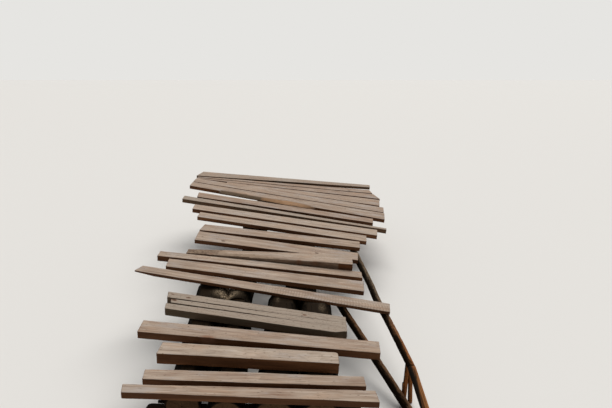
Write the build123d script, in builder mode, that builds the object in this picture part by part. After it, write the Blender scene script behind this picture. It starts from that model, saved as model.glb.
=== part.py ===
from build123d import *
from math import cos, radians, sin, tan
from typing import NamedTuple
import os

# A home-made wooden jetty: two bays of loose boards on hewn logs, standing on
# a sleeper, two stumps and a post trestle, with three poles at its right side.
# Millimetres. X runs to the right, Y out from the shore, Z up. The origin is
# the middle of the flat underside of the shore sleeper.

# The two decks: each is the plane that its boards lie on.
near_deck_height = 450
near_deck_tilt = 2.2
far_deck_start = 1000
far_deck_step = 5
far_deck_tilt = 4.5
far_deck_rise = 3.9

# Logs under the decks, hewn flat on top for the boards and below at each seat.
log_depth = 200
log_end_gap = 25
left_outer_near_x = -374
left_outer_far_x = -470
left_outer_start = -95
left_outer_overrun = 300
left_outer_near_radius = 101
left_outer_far_radius = 128
left_inner_near_x = -130
left_inner_far_x = -212
left_inner_start = -168
left_inner_radius = 108
right_inner_near_x = 132
right_inner_far_x = 118
right_inner_start = -160
right_inner_radius = 122
right_outer_near_x = 386
right_outer_far_x = 378
right_outer_start = -165
right_outer_radius = 124
right_logs_overrun = 140
right_logs_trim = 25
far_log_length = 3060
far_left_x = -220
far_left_radius = 103
far_right_x = 262
far_right_radius = 136

# Broken branch stubs on the left outer log, by their share of its length.
stub_radius = 13
stub_tip_radius = 9
stub_length = 40
stub_shares = (0.03, 0.83)

# Supports that stand on the ground.
sleeper_crown = 20
sleeper_length = 1250
stump_radius = 205
stump_flare = 25
left_stump_x = -345
right_stump_x = 285
cap_radius = 80
cap_height = 140
cap_length = 1300
cap_inset = 340
post_radius = 65
post_spacing = 940

# Poles at the right side.
outer_pole_radius = 30
outer_pole_flat = 4
outer_pole_far_x = 711
outer_pole_far_reach = 1450
outer_pole_near_x = 988
outer_pole_near_reach = -650
foot_radius = 27
foot_end_x = 1066
foot_end_y = -190
inner_pole_radius = 27
inner_pole_flat = 2
inner_pole_top_x = 558
inner_pole_top_y = 1063
inner_pole_end_x = 970
inner_pole_end_y = 272
ground_flat = 4
prop_y = 400
prop_leg_radius = 13
prop_top_spread = 9
prop_ground_spread = 22
broken_leg_radius = 10
broken_leg_spread = 28
broken_leg_height = 150
curved_clearance = 0.3

# Wear of single boards: the thick beam's far right corner, the cracks and
# stepped ends of the old split timber, the sixth board's thin left end, and
# the sixteenth board's waney edge.
beam_corner_radius = 22
thin_end_length = 170
thin_end_share = 0.45
crack_depth = 38
crack_width = 9
crack_share = 0.58
near_crack_share = 0.35
far_crack_share = 0.62
middle_strip_setback = 34
ragged_corner_length = 60
ragged_corner_width = 28
wane_foot = 9
wane_margin = 4
wane_places = (-640, -430, -170, 150, 330)
wane_widths = (1, 40, 34, 76, 1)

# The half-round slab, split side up, from its thin left end to its thick right end.
slab_length = 1455
slab_left_radius = 42
slab_right_radius = 98
slab_belly_flat = 6
slab_left_top = 50
slab_right_top = 105
slab_middle_x = -30
slab_middle_reach = 613
slab_turn = -1.8


class Board(NamedTuple):
    """A board's sizes: turn and end cuts in degrees, shift of its middle to the right."""

    name: str
    gap: float
    length: float
    left_width: float
    right_width: float
    thickness: float
    turn: float
    shift: float
    left_cut: float
    right_cut: float


near_boards_start = -179
near_boards = [
    Board("deck_board_01", 0, 1365, 72, 98, 40, 0, 0, -14, -7),
    Board("deck_board_02", 32, 1235, 95, 93, 42, 0, 12, -8, -3),
    Board("deck_board_03", 86, 1075, 125, 119, 70, -2.3, -43, -1, 0),
    Board("deck_board_04", 85, 1555, 145, 135, 50, -5.8, -13, -8, -2),
    Board("deck_board_05", 100, 1320, 250, 218, 55, -12, -72, -22, -11),
]
far_boards_start = 68
far_boards = [
    Board("deck_board_06", 0, 2045, 102, 125, 27, -9.4, -68, 14, -2),
    Board("deck_board_07", 61, 1650, 144, 172, 40, -5.8, -52, -10, -2),
    Board("deck_board_08", 22, 1760, 97, 109, 50, -4, -106, -4, -4),
]
outer_boards_start = 809
outer_boards = [
    Board("deck_board_10", 0, 1545, 204, 160, 40, -7.7, 10, -8, -2),
    Board("deck_board_11", 71, 1575, 160, 147, 40, -5.3, 36, 3, 0),
    Board("deck_board_12", 95, 1785, 138, 152, 40, -10.1, 25, -9, -4),
    Board("deck_board_13", 38, 2020, 144, 158, 45, -10.2, 40, -11, -2),
    Board("deck_board_14", 70, 2340, 114, 52, 45, -12.6, 7, -13, -6),
    Board("deck_board_15", 73, 2080, 153, 138, 40, -12.1, 18, -17, -5),
    Board("deck_board_16", 98, 2440, 161, 209, 42, -15.4, 11, -14, -8),
    Board("deck_board_17", 20, 2445, 150, 177, 40, -14.3, 25, -12, -7),
    Board("deck_board_18", 25, 1980, 63, 237, 30, -10, 225, -10, -2),
    Board("deck_board_19", 15, 2360, 44, 180, 30, -5, 21, -9, -24),
    Board("deck_board_20", 17, 2300, 41, 138, 30, -1.9, -5, -5, -13),
    Board("deck_board_21", 58, 2315, 207, 110, 35, 0.4, 0, 14, 5),
]

os.makedirs("parts", exist_ok=True)


def keep(part, name):
    """Label a finished piece and write it out."""
    part.label = name
    export_step(part, f"parts/{name}.step")


def tilted_plane(origin, tilt, rise):
    """A plane whose right side is lower by tilt and far side higher by rise."""
    right = Vector(cos(radians(tilt)), 0, -sin(radians(tilt)))
    out = Vector(0, cos(radians(rise)), sin(radians(rise)))
    return Plane(origin=origin, x_dir=right, z_dir=right.cross(out))


def turned_plane(deck, x, reach, turn):
    """A plane in the deck's own plane, moved along it and turned."""
    along = deck.x_dir * cos(radians(turn)) + deck.y_dir * sin(radians(turn))
    return Plane(
        origin=deck.from_local_coords(Vector(x, reach, 0)), x_dir=along, z_dir=deck.z_dir
    )


near_deck = tilted_plane((0, 0, near_deck_height), near_deck_tilt, 0)
far_deck_origin = (0, far_deck_start, near_deck_height - far_deck_step)
far_deck = tilted_plane(far_deck_origin, far_deck_tilt, far_deck_rise)
near_seat = near_deck.offset(-log_depth)
far_seat = far_deck.offset(-log_depth)
ground = Plane.XY


def round_pole(start, end, start_radius, end_radius=None):
    """A round pole between two points, tapered where its end has a radius of its own."""
    end_radius = end_radius or start_radius
    way = end - start
    profile = Plane(origin=start, x_dir=way, z_dir=Plane(origin=start, z_dir=way).x_dir)
    with BuildPart() as pole:
        with BuildSketch(profile):
            with BuildLine():
                Polyline(
                    (0, 0), (way.length, 0), (way.length, end_radius), (0, start_radius), close=True
                )
            make_face()
        revolve(axis=Axis(start, way))
    return pole.part


def edge_at_axis(board, side):
    """Distance from the board's middle line to where an edge crosses the axis."""
    c, s = cos(radians(board.turn)), sin(radians(board.turn))
    middle = (board.left_width + board.right_width) / 2
    flare = (board.right_width - board.left_width) / board.length
    x = (side * middle * s / 2 - board.shift) / (c - side * flare * s / 2)
    y = side * (middle + flare * x) / 2
    return x * s + y * c


def board_blank(plane, board):
    """A plain sawn board on its plane, with slanting ends."""
    end = board.length / 2
    left, right = board.left_width / 2, board.right_width / 2
    left_slant = left * tan(radians(board.left_cut))
    right_slant = right * tan(radians(board.right_cut))
    with BuildPart() as blank:
        with BuildSketch(plane):
            with BuildLine():
                Polyline(
                    (-end - left_slant, -left), (end - right_slant, -right),
                    (end + right_slant, right), (-end + left_slant, left), close=True,
                )
            make_face()
        extrude(amount=board.thickness)
    return blank.part


class Laid(NamedTuple):
    """A board's blank where it lies, with the plane under it and its sizes."""

    blank: Part
    plane: Plane
    board: Board


def lay_deck(deck, start, boards):
    """Boards one after another, each a gap beyond the last, measured on the axis."""
    laid = {}
    edge = start
    for board in boards:
        reach = edge + board.gap - edge_at_axis(board, -1)
        plane = turned_plane(deck, board.shift, reach, board.turn)
        laid[board.name] = Laid(board_blank(plane, board), plane, board)
        edge = reach + edge_at_axis(board, 1)
    return laid


deck = {
    **lay_deck(near_deck, near_boards_start, near_boards),
    **lay_deck(far_deck, far_boards_start, far_boards),
    **lay_deck(far_deck, outer_boards_start, outer_boards),
}

# The thick beam: its far right corner is worn round.
blank, plane, board = deck.pop("deck_board_03")
with BuildPart() as thick_beam:
    add(blank)
    upright = thick_beam.edges().filter_by(Axis(plane.origin, plane.z_dir))
    far_right = upright.sort_by(Axis(plane.origin, plane.x_dir + plane.y_dir))[-1]
    fillet(far_right, beam_corner_radius)
keep(thick_beam.part, board.name)

# The old split timber: two cracks run in from its left end between three
# strips, the middle strip stops short, and the near right corner is ragged.
blank, plane, board = deck.pop("deck_board_05")
left_end, right_end = -board.length / 2, board.length / 2
left_edge, right_edge = -board.left_width / 2, -board.right_width / 2
past_left = left_end - board.left_width
crack_tip = left_end + crack_share * board.length
crack_lines = []
for share in (near_crack_share, far_crack_share):
    left_y = left_edge + share * board.left_width
    right_y = right_edge + share * board.right_width
    crack_lines.append((left_y, left_y + (right_y - left_y) * crack_share))
with BuildPart() as old_timber:
    add(blank)
    with BuildSketch(plane.offset(board.thickness)):
        for left_y, tip_y in crack_lines:
            with BuildLine():
                Polyline(
                    (past_left, left_y - crack_width / 2), (crack_tip, tip_y),
                    (past_left, left_y + crack_width / 2), close=True,
                )
            make_face()
    extrude(amount=-crack_depth, mode=Mode.SUBTRACT)
    with BuildSketch(plane):
        with BuildLine():
            near_y, far_y = crack_lines[0][0], crack_lines[1][0]
            step = left_end + middle_strip_setback
            Polyline(
                (past_left, near_y), (step, near_y), (step, far_y), (past_left, far_y), close=True
            )
        make_face()
        with BuildLine():
            Polyline(
                (right_end - 2 * ragged_corner_length, right_edge - ragged_corner_width),
                (right_end + ragged_corner_length, right_edge - ragged_corner_width),
                (right_end + ragged_corner_length, right_edge + 2 * ragged_corner_width),
                close=True,
            )
        make_face()
    extrude(amount=board.thickness, mode=Mode.SUBTRACT)
keep(old_timber.part, board.name)

# The sixth board is hewn thin from below towards its left end.
blank, plane, board = deck.pop("deck_board_06")
left_tip = -board.length / 2 - board.left_width
thin_start = -board.length / 2 + thin_end_length
thinning = (1 - thin_end_share) * board.thickness / thin_end_length
middle_section = Plane(origin=plane.origin, x_dir=plane.x_dir, z_dir=-plane.y_dir)
with BuildPart() as thin_ended_board:
    add(blank)
    with BuildSketch(middle_section):
        with BuildLine():
            Polyline(
                (thin_start, 0), (left_tip, 0), (left_tip, (thin_start - left_tip) * thinning),
                close=True,
            )
        make_face()
    extrude(amount=2 * board.left_width, both=True, mode=Mode.SUBTRACT)
keep(thin_ended_board.part, board.name)

# The waney board: the tree's own rounded edge is left along its near side, a
# slanting face whose width on top changes from place to place.
blank, plane, board = deck.pop("deck_board_16")
flare = (board.right_width - board.left_width) / board.length
with BuildPart() as wane:
    for place, width in zip(wane_places, wane_widths):
        near_edge = -(board.left_width + board.right_width) / 4 - flare * place / 2
        slope = (board.thickness - wane_foot) / width
        section = Plane(
            origin=plane.from_local_coords(Vector(place, near_edge, 0)),
            x_dir=plane.y_dir, z_dir=plane.x_dir,
        )
        with BuildSketch(section):
            with BuildLine():
                Polyline(
                    (-wane_margin, wane_foot - wane_margin * slope),
                    (-wane_margin, board.thickness + wane_margin),
                    (width + wane_margin / slope, board.thickness + wane_margin), close=True,
                )
            make_face()
    loft()
with BuildPart() as waney_board:
    add(blank)
    add(wane.part, mode=Mode.SUBTRACT)
keep(waney_board.part, board.name)

for blank, plane, board in deck.values():
    keep(blank, board.name)

# The half-round slab: a tapered log split in two, lying on a trimmed belly.
slab_plane = turned_plane(far_deck, slab_middle_x, slab_middle_reach, slab_turn)
slab_left = -slab_length / 2
slab_right = slab_length / 2
slab_left_axis = slab_left_radius - slab_belly_flat
slab_right_axis = slab_right_radius - slab_belly_flat
slab_face_start = slab_plane.from_local_coords(Vector(slab_left, 0, slab_left_top))
slab_face_end = slab_plane.from_local_coords(Vector(slab_right, 0, slab_right_top))
slab_face_way = slab_face_end - slab_face_start
slab_face = Plane(
    origin=slab_face_start, x_dir=slab_face_way, z_dir=slab_face_way.cross(slab_plane.y_dir)
)
with BuildPart() as half_round_slab:
    add(round_pole(
        slab_plane.from_local_coords(Vector(slab_left, 0, slab_left_axis)),
        slab_plane.from_local_coords(Vector(slab_right, 0, slab_right_axis)),
        slab_left_radius, slab_right_radius,
    ))
    split(bisect_by=slab_face, keep=Keep.BOTTOM)
    split(bisect_by=slab_plane, keep=Keep.TOP)
keep(half_round_slab.part, "deck_board_09")


def hewn_log(log, top, seats, overrun=0):
    """A log trimmed flat under the boards and notched down to each seat.

    Each seat is a plane with the near and far end of its stretch. Where a log
    runs on past the start of the far deck, it is trimmed to that deck too.
    """
    with BuildPart() as hewn:
        add(log)
        split(bisect_by=top, keep=Keep.BOTTOM)
        for seat, near_end, far_end in seats:
            with BuildSketch(seat.offset(-log_depth)):
                with Locations((0, (near_end + far_end) / 2)):
                    Rectangle(2 * sleeper_length, far_end - near_end)
            extrude(amount=log_depth, mode=Mode.SUBTRACT)
        if overrun:
            with BuildSketch(far_deck):
                with Locations((0, overrun / 2)):
                    Rectangle(2 * sleeper_length, overrun + 2 * right_logs_trim)
            extrude(amount=log_depth, mode=Mode.SUBTRACT)
    return hewn.part


def near_axis(x, y):
    """A point of a log's axis, half the log's depth under the near deck."""
    return near_deck.from_local_coords(Vector(x, y, -log_depth / 2))


def far_axis(x, reach):
    """A point of a log's axis, half the log's depth under the far deck."""
    return far_deck.from_local_coords(Vector(x, reach, -log_depth / 2))


near_log_end = far_deck_start - log_end_gap
stump_reach = stump_radius + stump_flare
sleeper_axis_height = (near_deck_height - log_depth) / 2
sleeper_radius = sleeper_axis_height + sleeper_crown
near_seats = [
    (near_seat, -sleeper_radius, sleeper_radius),
    (near_seat, far_deck_start - stump_reach, far_deck_start + stump_reach),
]

# The left outer log runs on under the far deck and keeps two branch stubs.
left_outer_near = near_axis(left_outer_near_x, left_outer_start)
left_outer_far = near_axis(left_outer_far_x, near_log_end + left_outer_overrun)
with BuildPart() as left_outer_log:
    add(round_pole(
        left_outer_near, left_outer_far, left_outer_near_radius, left_outer_far_radius
    ))
    for share in stub_shares:
        root = left_outer_near + (left_outer_far - left_outer_near) * share
        swell = (left_outer_far_radius - left_outer_near_radius) * share
        tip = root - Vector(left_outer_near_radius + swell + stub_length, 0, 0)
        add(round_pole(root, tip, stub_radius, stub_tip_radius))
keep(hewn_log(left_outer_log.part, near_deck, near_seats), "near_log_left_outer")

left_inner_log = round_pole(
    near_axis(left_inner_near_x, left_inner_start), near_axis(left_inner_far_x, near_log_end),
    left_inner_radius,
)
keep(hewn_log(left_inner_log, near_deck, near_seats), "near_log_left_inner")

# Both right logs run on a little under the first boards of the far deck.
right_logs_end = near_log_end + right_logs_overrun
right_inner_log = hewn_log(
    round_pole(
        near_axis(right_inner_near_x, right_inner_start),
        near_axis(right_inner_far_x, right_logs_end), right_inner_radius,
    ),
    near_deck, near_seats, right_logs_overrun,
)
keep(right_inner_log, "near_log_right_inner")

right_outer_log = hewn_log(
    round_pole(
        near_axis(right_outer_near_x, right_outer_start),
        near_axis(right_outer_far_x, right_logs_end), right_outer_radius,
    ),
    near_deck, near_seats, right_logs_overrun,
)
keep(right_outer_log, "near_log_right_outer")

# The two long logs of the far deck lie on the stumps and on the far trestle.
cap_reach = far_log_length - cap_inset
far_seats = [
    (near_seat, far_deck_start - stump_reach, far_deck_start + stump_reach),
    (far_seat, cap_reach - cap_radius, cap_reach + cap_radius),
]
far_left_log = round_pole(
    far_axis(far_left_x, 0), far_axis(far_left_x, far_log_length), far_left_radius
)
keep(hewn_log(far_left_log, far_deck, far_seats), "far_log_left")

far_right_log = round_pole(
    far_axis(far_right_x, right_logs_overrun), far_axis(far_right_x, far_log_length),
    far_right_radius,
)
keep(hewn_log(far_right_log, far_deck, far_seats), "far_log_right")

# The shore sleeper, hewn flat above and below.
with BuildPart() as shore_sleeper:
    add(round_pole(
        Vector(-sleeper_length / 2, 0, sleeper_axis_height),
        Vector(sleeper_length / 2, 0, sleeper_axis_height), sleeper_radius,
    ))
    split(bisect_by=near_seat, keep=Keep.BOTTOM)
    split(bisect_by=ground, keep=Keep.TOP)
keep(shore_sleeper.part, "shore_sleeper")


def stump(x):
    """A short stump that flares to its root and is sawn off under the logs."""
    with BuildPart() as piece:
        with BuildSketch(ground):
            with Locations((x, far_deck_start)):
                Circle(stump_reach)
        with BuildSketch(Plane.XY.offset(near_deck_height)):
            with Locations((x, far_deck_start)):
                Circle(stump_radius)
        loft()
        split(bisect_by=near_seat, keep=Keep.BOTTOM)
    return piece.part


keep(stump(left_stump_x), "middle_stump_left")
keep(stump(right_stump_x), "middle_stump_right")

# The far trestle: a cap log, flat above and below, on two posts.
cap_axis = far_seat.offset(-cap_height / 2)
cap_foot = far_seat.offset(-cap_height)
with BuildPart() as far_cap:
    add(round_pole(
        cap_axis.from_local_coords(Vector(-cap_length / 2, cap_reach, 0)),
        cap_axis.from_local_coords(Vector(cap_length / 2, cap_reach, 0)),
        cap_radius,
    ))
    split(bisect_by=far_seat, keep=Keep.BOTTOM)
    split(bisect_by=cap_foot, keep=Keep.TOP)
keep(far_cap.part, "far_cap")


def far_post(side):
    """A post from the ground to the underside of the far cap."""
    top = cap_foot.from_local_coords(Vector(side * post_spacing / 2, cap_reach, 0))
    above = Vector(top.X, top.Y, top.Z + post_radius)
    with BuildPart() as post:
        add(round_pole(Vector(top.X, top.Y, 0), above, post_radius))
        split(bisect_by=cap_foot, keep=Keep.BOTTOM)
    return post.part


keep(far_post(-1), "far_post_left")
keep(far_post(1), "far_post_right")

# The outer pole carries the right ends of the far boards and runs on to a
# barkless foot that slopes down to the ground on the shore.
pole_drop = outer_pole_radius - outer_pole_flat
outer_far = far_deck.from_local_coords(
    Vector(outer_pole_far_x, outer_pole_far_reach, -pole_drop)
)
outer_near = far_deck.from_local_coords(
    Vector(outer_pole_near_x, outer_pole_near_reach, -pole_drop)
)
foot_end = Vector(foot_end_x, foot_end_y, foot_radius - ground_flat)
pole_way = (outer_near - outer_far).normalized()
foot_way = (foot_end - outer_near).normalized()
splice = Plane(origin=outer_near, z_dir=pole_way + foot_way)
overrun = 2 * outer_pole_radius
foot_start = outer_near - foot_way * overrun
with BuildPart() as outer_pole:
    add(round_pole(outer_far, outer_near + pole_way * overrun, outer_pole_radius))
    split(bisect_by=far_deck, keep=Keep.BOTTOM)
    split(bisect_by=splice, keep=Keep.BOTTOM)
keep(outer_pole.part, "outer_pole")

with BuildPart() as outer_pole_foot:
    add(round_pole(foot_start, foot_end, foot_radius))
    split(bisect_by=splice, keep=Keep.TOP)
    split(bisect_by=ground, keep=Keep.TOP)
keep(outer_pole_foot.part, "outer_pole_foot")

# The inner pole leans from the ground up under the sixth board.
inner_top_height = far_deck.from_local_coords(
    Vector(inner_pole_top_x, inner_pole_top_y - far_deck_start, 0)
).Z
inner_pole_drop = inner_pole_radius - inner_pole_flat
inner_top = Vector(inner_pole_top_x, inner_pole_top_y, inner_top_height - inner_pole_drop)
inner_end = Vector(inner_pole_end_x, inner_pole_end_y, inner_pole_radius - ground_flat)
with BuildPart() as inner_pole:
    add(round_pole(inner_top, inner_end, inner_pole_radius))
    split(bisect_by=far_deck, keep=Keep.BOTTOM)
    split(bisect_by=ground, keep=Keep.TOP)
keep(inner_pole.part, "inner_pole")

# The forked prop stands under the outer pole's near end, crotch up and
# saddled to the pole: two legs and the stump of a broken one.
prop_share = (prop_y - outer_far.Y) / (outer_near.Y - outer_far.Y)
prop_head = outer_far + (outer_near - outer_far) * prop_share
prop_sunk = -2 * prop_leg_radius
broken_x = prop_head.X - broken_leg_spread
with BuildPart() as forked_prop:
    for side in (-1, 1):
        leg_foot = Vector(prop_head.X + side * prop_ground_spread, prop_head.Y, prop_sunk)
        leg_head = prop_head + Vector(side * prop_top_spread, 0, 0)
        add(round_pole(leg_foot, leg_head, prop_leg_radius))
    add(round_pole(
        Vector(broken_x, prop_head.Y, prop_sunk), Vector(broken_x, prop_head.Y, broken_leg_height),
        broken_leg_radius,
    ))
    split(bisect_by=ground, keep=Keep.TOP)
    add(
        round_pole(outer_far, outer_near, outer_pole_radius + curved_clearance),
        mode=Mode.SUBTRACT,
    )
keep(forked_prop.part, "forked_prop")
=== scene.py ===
import math
from typing import NamedTuple

import bpy
import numpy as np
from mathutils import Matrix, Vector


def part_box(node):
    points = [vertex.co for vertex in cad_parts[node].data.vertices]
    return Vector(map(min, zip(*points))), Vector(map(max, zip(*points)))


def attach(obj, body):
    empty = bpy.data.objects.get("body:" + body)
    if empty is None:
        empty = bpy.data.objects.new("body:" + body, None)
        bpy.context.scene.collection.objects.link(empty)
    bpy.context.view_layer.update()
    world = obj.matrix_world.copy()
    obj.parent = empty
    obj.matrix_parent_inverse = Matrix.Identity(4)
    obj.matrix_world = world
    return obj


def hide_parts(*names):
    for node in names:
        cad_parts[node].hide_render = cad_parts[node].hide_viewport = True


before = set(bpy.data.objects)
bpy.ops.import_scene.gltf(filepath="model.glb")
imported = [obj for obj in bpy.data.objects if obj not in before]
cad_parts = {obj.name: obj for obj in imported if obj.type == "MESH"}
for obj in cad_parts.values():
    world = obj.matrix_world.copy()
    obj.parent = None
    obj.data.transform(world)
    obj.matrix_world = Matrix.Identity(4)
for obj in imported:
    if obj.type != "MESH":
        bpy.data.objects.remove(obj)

bl_info = {
    "name": "Wooden jetty",
    "version": (1, 0, 0),
    "blender": (4, 5, 0),
    "location": "3D View > Sidebar > Jetty",
    "description": "Dresses the frame of a home-made wooden jetty in sawn boards, split wood and bark",
    "category": "Object",
}

MM = 0.001
RIGHT, OUT, UP = np.eye(3)
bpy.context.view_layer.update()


def linear(hex_code):
    """Turns an sRGB hex colour into linear red, green and blue."""
    shares = np.array([int(hex_code[i:i + 2], 16) for i in (0, 2, 4)]) / 255
    return tuple(np.where(shares <= 0.04045, shares / 12.92, ((shares + 0.055) / 1.055) ** 2.4).tolist())


def paint(name, description, hex_code):
    """A colour setting of the panel, written as sRGB hex."""
    return bpy.props.FloatVectorProperty(
        name=name, description=description, default=linear(hex_code), subtype="COLOR", min=0.0, max=1.0,
    )


def measure(name, description, millimetres):
    """A length setting of the panel, written in millimetres and kept in metres."""
    return bpy.props.FloatProperty(
        name=name, description=description, default=millimetres * MM, subtype="DISTANCE", min=0.0,
    )


class JettyBoards(bpy.types.PropertyGroup):
    """Sizes and colours of the sawn boards."""

    step: measure("Step", "Distance between two rings of points along a board", 16)
    arris: measure("Arris", "How round a board's long edges are worn", 2.6)
    edge_wave: measure("Edge wave", "How far a sawn edge wanders", 1.8)
    ring_width: measure("Ring width", "Width of one year's growth in the boards", 3.4)
    saw_pitch: measure("Saw pitch", "Distance between two marks of the saw", 22)
    knot_room: measure("Knot room", "Room that each knot has in the wood", 150)
    pale: paint("Pale wood", "Dry and dusty wood on top", "B1A08F")
    clean: paint("Clean wood", "Lightest bands of the dry wood on top", "C0AF9D")
    tan: paint("Tan wood", "Less bleached wood on top", "937A67")
    late: paint("Late wood", "Dark line of each year's growth", "66503F")
    knot: paint("Knot", "Knots and dark specks in the boards", "46301F")
    stain: paint("Stain", "Reddish stains on the boards", "7E5840")
    dust: paint("Dust", "Grey dust that lies on the boards", "AAA098")
    warm: paint("Warm patch", "Patches of less weathered wood", "AE8B6E")
    # Front and Light front are partly damp wood and partly painted shade: the edges and undersides of boards
    # take them because they don't look up.
    front: paint("Front", "Damp sawn edge of a board", "4C2C14")
    front_light: paint("Light front", "Drier parts of a sawn edge", "7E5230")
    grey: paint("Grey wood", "Old wood that has weathered grey", "9A8D7E")
    green: paint("Green front", "Algae on the edge of old wood", "544C3C")
    wane: paint("Wane", "Grey skin of the tree's round edge", "7A6650")
    # Dark slab skin goes on streaks and, as painted shade, on the slab's round side, which its finish treats
    # as not facing up.
    slab_skin: paint("Slab's skin", "Debarked round side of the half-round slab", "A58E78")
    slab_skin_dark: paint("Dark slab skin", "Streaks on the slab's round side", "6E5846")
    wane_tan: paint("Tan wane", "Orange-brown skin of the round edge", "B0855C")


class JettyBark(bpy.types.PropertyGroup):
    """Sizes and colours of logs, poles and bark."""

    step: measure("Step", "Distance between two rings of points along a log", 14)
    relief: measure("Relief", "Depth of the furrows in the bark of a log", 6)
    pole_thickness: measure("Pole bark thickness", "Bark that lies outside a pole's solid", 3.5)
    # Bark, Hewn wood and Light hewn wood are nearly black: dark damp wood with the shade under the deck
    # painted into it.
    bark: paint("Bark", "Plates of the bark", "17110B")
    bark_light: paint("Light bark", "Dry edges of the bark's plates", "5A4836")
    # The furrow colour is painted shade in the bark's furrows.
    furrow: paint("Furrow", "Furrows between the plates", "080604")
    lichen: paint("Lichen", "Grey lichen on the bark", "302E24")
    hewn: paint("Hewn wood", "Wood laid bare by the axe", "0E0A06")
    hewn_light: paint("Light hewn wood", "Splinters of the hewn wood", "231A11")
    # Peeled patch is dry chips and torn bark, and painted light where light falls through a gap between the
    # boards onto a log.
    peeled_and_lit_patch: paint("Peeled patch", "Dry chips of bark and wood on the logs", "C4AC8E")
    # Pole bark is damp bark and painted shade on the poles' side away from the light; Dry pole bark and Red
    # pole bark go on dry flakes and, as painted light, on the lit side.
    pole_bark: paint("Pole bark", "Damp thin bark of the poles", "171008")
    pole_bark_dry_and_lit: paint("Dry pole bark", "Dry grey side of the poles' bark", "74624F")
    pole_bark_red: paint("Red pole bark", "Rust-red flakes of the poles' bark", "925C34")
    barkless: paint("Bare pole", "Pole wood without bark", "A86F3E")
    barkless_dark: paint("Dark bare pole", "Streaks of the barkless pole", "4A2C14")
    log_end: paint("Log end", "Sawn end of a log", "57412D")


class JettyStage(bpy.types.PropertyGroup):
    """The floor, the light and the camera's place."""

    floor: paint("Floor", "Pale floor", "DEDBD6")
    floor_size: measure("Floor size", "Half the width of the floor", 90000)
    eye_height: measure("Eye height", "Height of the camera over the ground", 2150)
    eye_back: measure("Eye distance", "Distance of the camera behind the shore sleeper", 2300)
    eye_right: measure("Eye right", "Distance of the camera to the right of the middle", 300)
    eye_pitch: bpy.props.FloatProperty(
        name="Eye pitch", description="How far the camera looks down", default=math.radians(15.95),
        subtype="ANGLE",
    )
    focal_pixels: bpy.props.FloatProperty(
        name="Focal length", description="Focal length in pixels of the photograph", default=476.0, min=1.0,
    )


# ---------------------------------------------------------------- numpy helpers


def smooth_noise(seed, u, v, round_v=64):
    """Smooth noise from -1 to 1 over whole arrays.

    Random heights stand on the points of a unit lattice and are blended with
    3t^2 - 2t^3 along each side of a cell; the lattice repeats every 512 along u
    and every round_v along v, so noise round a log meets itself.
    """
    heights = np.random.default_rng(seed).uniform(-1, 1, (512, round_v))
    u, v = np.broadcast_arrays(u, v)
    iu, iv = np.floor(u).astype(int), np.floor(v).astype(int)
    fu, fv = u - iu, v - iv
    fu, fv = fu * fu * (3 - 2 * fu), fv * fv * (3 - 2 * fv)
    iu0, iu1, iv0, iv1 = iu % 512, (iu + 1) % 512, iv % round_v, (iv + 1) % round_v
    low = heights[iu0, iv0] * (1 - fv) + heights[iu0, iv1] * fv
    high = heights[iu1, iv0] * (1 - fv) + heights[iu1, iv1] * fv
    return low * (1 - fu) + high * fu


def ease(x, low, high):
    """Smooth step: 0 below low, 1 above high, 3t^2 - 2t^3 between."""
    t = np.clip((x - low) / (high - low), 0, 1)
    return t * t * (3 - 2 * t)


def unit(vector):
    """The same vector with length 1."""
    return vector / np.linalg.norm(vector)


def stacked(*values):
    """Numbers and arrays, stretched to one shape, as the last axis of one array."""
    return np.stack(np.broadcast_arrays(*values), axis=-1)


def shell_of(node):
    """Corner points (triangle, corner, xyz), normals and areas of a CAD node's triangles."""
    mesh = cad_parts[node].data
    mesh.calc_loop_triangles()
    points = np.empty(len(mesh.vertices) * 3)
    mesh.vertices.foreach_get("co", points)
    index = np.empty(len(mesh.loop_triangles) * 3, int)
    mesh.loop_triangles.foreach_get("vertices", index)
    corners = points.reshape(-1, 3)[index].reshape(-1, 3, 3)
    cross = np.cross(corners[:, 1] - corners[:, 0], corners[:, 2] - corners[:, 0])
    doubled = np.linalg.norm(cross, axis=1)
    keep = doubled > 1e-12
    return corners[keep], cross[keep] / doubled[keep, None], doubled[keep] / 2


class Flat(NamedTuple):
    """A plane: a point on it and its unit normal."""

    point: np.ndarray
    normal: np.ndarray


def flat_of(node, way):
    """The plane of the node's largest face that looks within 16 degrees of way."""
    corners, normals, areas = shell_of(node)
    facing = normals @ way > 0.96
    biggest = normals[facing][np.argmax(areas[facing])]
    same = facing & (normals @ biggest > 0.9999)
    depth = corners[same][:, 0] @ biggest
    outer = np.abs(depth - np.median(depth)) < 0.5 * MM
    return Flat(corners[same][outer][0, 0], biggest)


class Lie(NamedTuple):
    """Where a board lies: four lower corners, ways along, across and up, thickness."""

    corners: np.ndarray
    along: np.ndarray
    across: np.ndarray
    up: np.ndarray
    thickness: float


def outer_corners(points, along, across):
    """The outermost points of a board's face: near left, near right, far right and far left."""
    centred = points - points.mean(axis=0)
    u, v = centred @ along, centred @ across * 3
    return points[[np.argmin(u + v), np.argmax(u - v), np.argmax(u + v), np.argmin(u - v)]]


def middle_length(corners):
    """Length of a board's middle line, from its four corners."""
    near_left, near_right, far_right, far_left = corners
    return np.linalg.norm((near_right + far_right - near_left - far_left) / 2)


def lie_of(node):
    """Reads where a board lies from the flat underside of its CAD node."""
    up = -flat_of(node, -UP).normal
    points = shell_of(node)[0].reshape(-1, 3)
    height = points @ up
    base = points[height < height.min() + 0.5 * MM]
    along = np.linalg.svd(base - base.mean(axis=0), full_matrices=False)[2][0]
    along = unit(along * np.sign(along[0]))
    across = np.cross(up, along)
    return Lie(outer_corners(base, along, across), along, across, up, height.max() - height.min())


# ---------------------------------------------------------------- mesh from grids


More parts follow.
